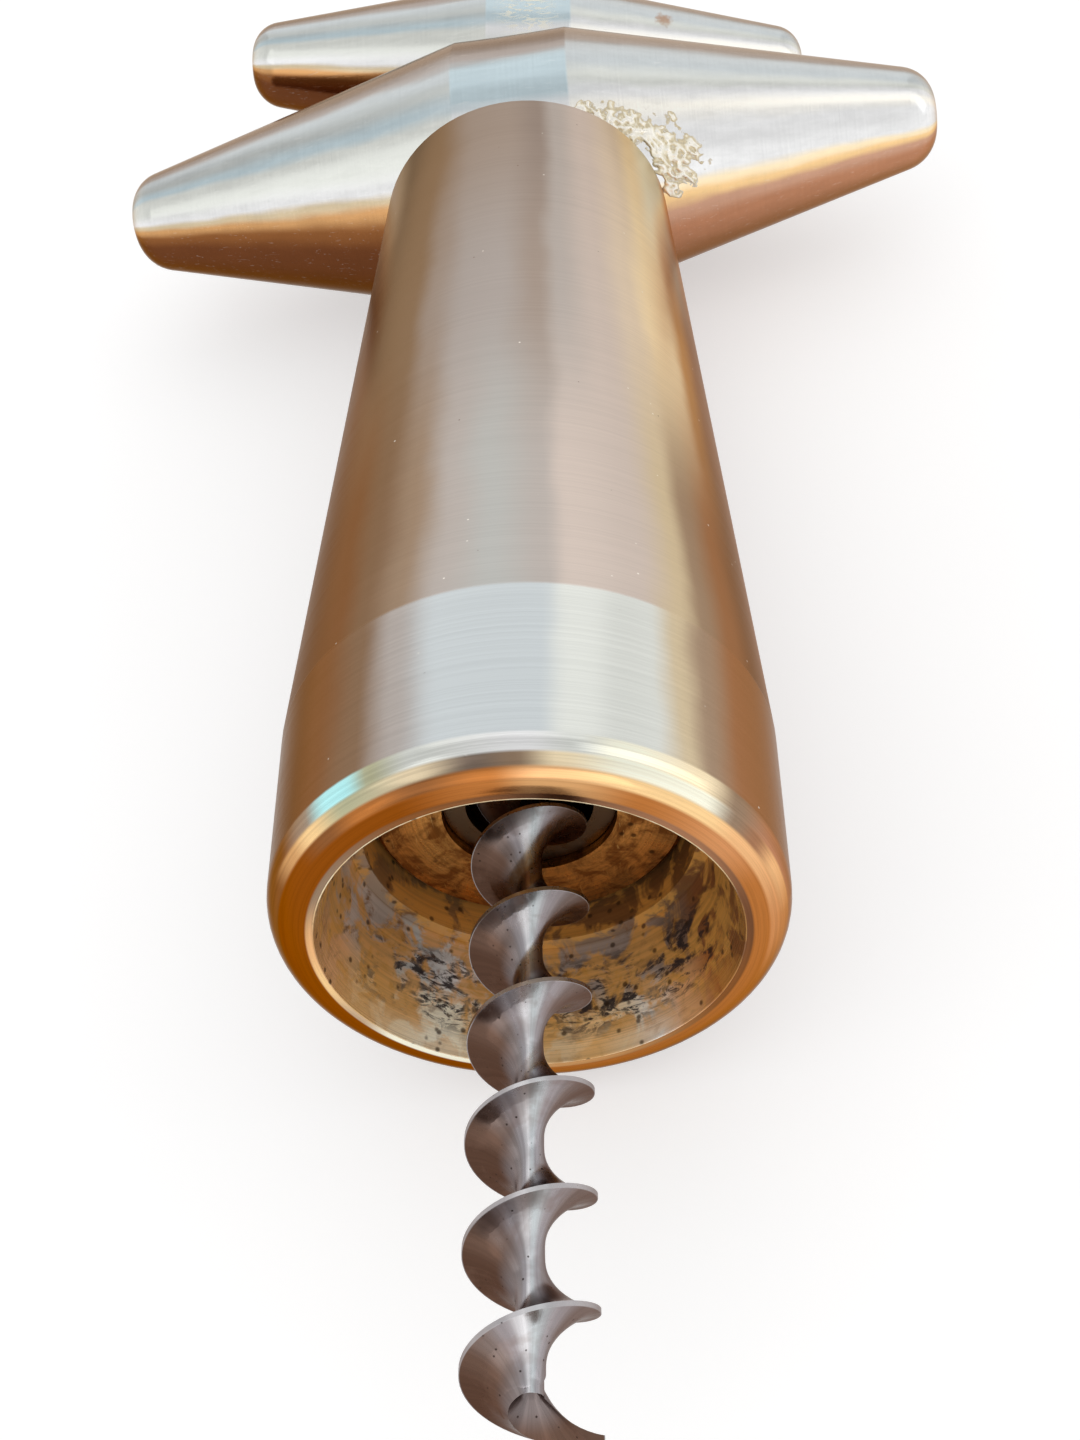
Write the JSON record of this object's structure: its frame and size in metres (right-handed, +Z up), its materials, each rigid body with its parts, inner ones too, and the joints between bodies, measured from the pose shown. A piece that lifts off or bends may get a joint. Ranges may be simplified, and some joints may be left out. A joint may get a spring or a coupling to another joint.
{
  "type": "double-handled barrel corkscrew",
  "caption": "Brass barrel corkscrew: bell-shaped body with two turned cross handles, a raising screw inside and a steel worm standing out of the mouth.",
  "frame": {"origin": "middle of the bell's mouth, on the axis, in the plane of the rim", "axes": "lying on its side on the end of the band behind the lip and the middle of the lower handle: +X along the lower handle, +Y from the mouth towards the handles, +Z up; the tool's axis drops 3.13 degrees towards the handles"},
  "size_m": [0.0938, 0.1849, 0.041],
  "materials": {
    "satin_brass": "satin brushed brass",
    "polished_brass": "polished brass",
    "aged_brass": "aged brass",
    "worm_steel": "worn steel",
    "pin_steel": "plain steel"
  },
  "bodies": {
    "barrel": {"bell": "satin_brass", "lower_handle": "polished_brass", "thread_bush": "aged_brass", "bush_lock_screw": "pin_steel"},
    "guide": {"guide_piston": "aged_brass", "face_plate": "aged_brass"},
    "screw": {"spindle": "aged_brass", "worm": "worm_steel", "worm_cross_pin": "pin_steel", "upper_handle": "polished_brass", "handle_cross_pin": "pin_steel"}
  },
  "joints": [
    {"name": "lift", "type": "slide", "parent": "barrel", "child": "guide", "axis": [0, 0.9985, -0.0545], "range_m": [0, 0.048]},
    {"name": "turn", "type": "hinge", "parent": "guide", "child": "screw", "pos_m": [0, 0, 0], "axis": [0, -0.9985, 0.0545], "range_deg": [0, 2880]}
  ],
  "couplings": [
    {"joint": "turn", "follows": "lift", "rad_per_m": 1047.2}
  ]
}
